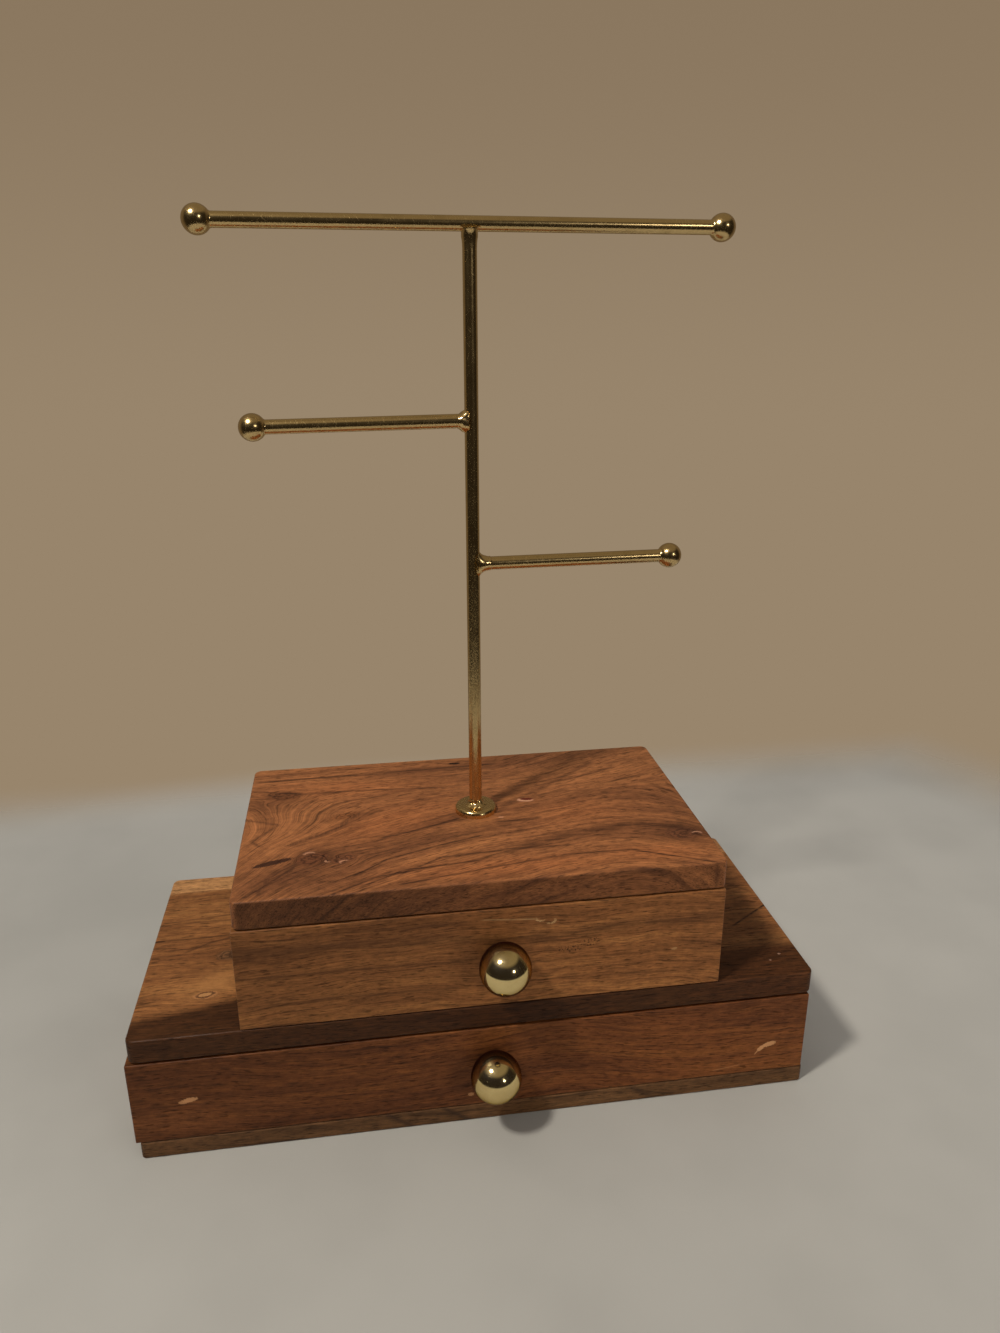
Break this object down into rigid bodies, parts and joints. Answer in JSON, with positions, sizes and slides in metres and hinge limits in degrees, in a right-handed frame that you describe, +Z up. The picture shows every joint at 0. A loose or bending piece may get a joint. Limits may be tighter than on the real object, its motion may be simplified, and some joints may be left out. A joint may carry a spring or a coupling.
{
  "type": "jewelry stand with drawers",
  "caption": "Tiered wooden jewelry box with sliding drawers and brass ball knobs, carrying a brass rod stand whose ball-ended bars hold necklaces and bracelets.",
  "frame": {"origin": "centre of the base board's underside, on the surface that the stand rests on", "axes": "+X to the right of someone facing the knobs, +Y to the back, +Z up along the brass post"},
  "size_m": [0.3014, 0.1459, 0.381],
  "materials": {
    "upper_top_wood": "oiled hardwood with cathedral grain and knots, satin",
    "lower_top_wood": "oiled hardwood, dark heartwood with a pale sapwood strip, satin",
    "upper_front_wood": "oiled hardwood, straight tan-brown grain, satin",
    "lower_front_wood": "oiled hardwood, dark red-brown grain, satin",
    "base_wood": "oiled hardwood, greyer brown, satin",
    "wall_wood": "oiled hardwood, straight grain, satin",
    "drawer_wood": "pale sawn hardwood, unfinished",
    "drawer_ply": "thin plywood, unfinished",
    "dowel_beech": "turned beech, unfinished",
    "polished_brass": "polished brass, fine scratches",
    "zinc_steel": "zinc-plated steel",
    "felt": "black wool felt"
  },
  "bodies": {
    "case": {"base_board": "base_wood", "lower_left_side": "wall_wood", "lower_right_side": "wall_wood", "lower_back_panel": "wall_wood", "lower_top_board": "lower_top_wood", "upper_left_side": "wall_wood", "upper_right_side": "wall_wood", "upper_back_panel": "wall_wood", "upper_top_board": "upper_top_wood", "base_screws": "zinc_steel", "lower_top_dowels": "dowel_beech", "upper_base_dowels": "dowel_beech", "upper_top_dowels": "dowel_beech", "threaded_insert": "polished_brass", "post": "polished_brass", "post_flange": "polished_brass", "top_bar": "polished_brass", "left_arm": "polished_brass", "right_arm": "polished_brass", "top_left_ball": "polished_brass", "top_right_ball": "polished_brass", "left_arm_ball": "polished_brass", "right_arm_ball": "polished_brass"},
    "lower_drawer": {"lower_drawer_front": "lower_front_wood", "lower_drawer_left_side": "drawer_wood", "lower_drawer_right_side": "drawer_wood", "lower_drawer_back": "drawer_wood", "lower_drawer_bottom": "drawer_ply", "lower_drawer_lining": "felt", "lower_drawer_knob": "polished_brass", "lower_drawer_knob_screw": "zinc_steel", "lower_drawer_pins": "zinc_steel"},
    "upper_drawer": {"upper_drawer_front": "upper_front_wood", "upper_drawer_left_side": "drawer_wood", "upper_drawer_right_side": "drawer_wood", "upper_drawer_back": "drawer_wood", "upper_drawer_bottom": "drawer_ply", "upper_drawer_lining": "felt", "upper_drawer_knob": "polished_brass", "upper_drawer_knob_screw": "zinc_steel", "upper_drawer_pins": "zinc_steel"}
  },
  "joints": [
    {"name": "lower_drawer_slide", "type": "slide", "parent": "case", "child": "lower_drawer", "axis": [0, -1, 0], "range_m": [0, 0.085]},
    {"name": "upper_drawer_slide", "type": "slide", "parent": "case", "child": "upper_drawer", "axis": [0, -1, 0], "range_m": [0, 0.085]}
  ]
}
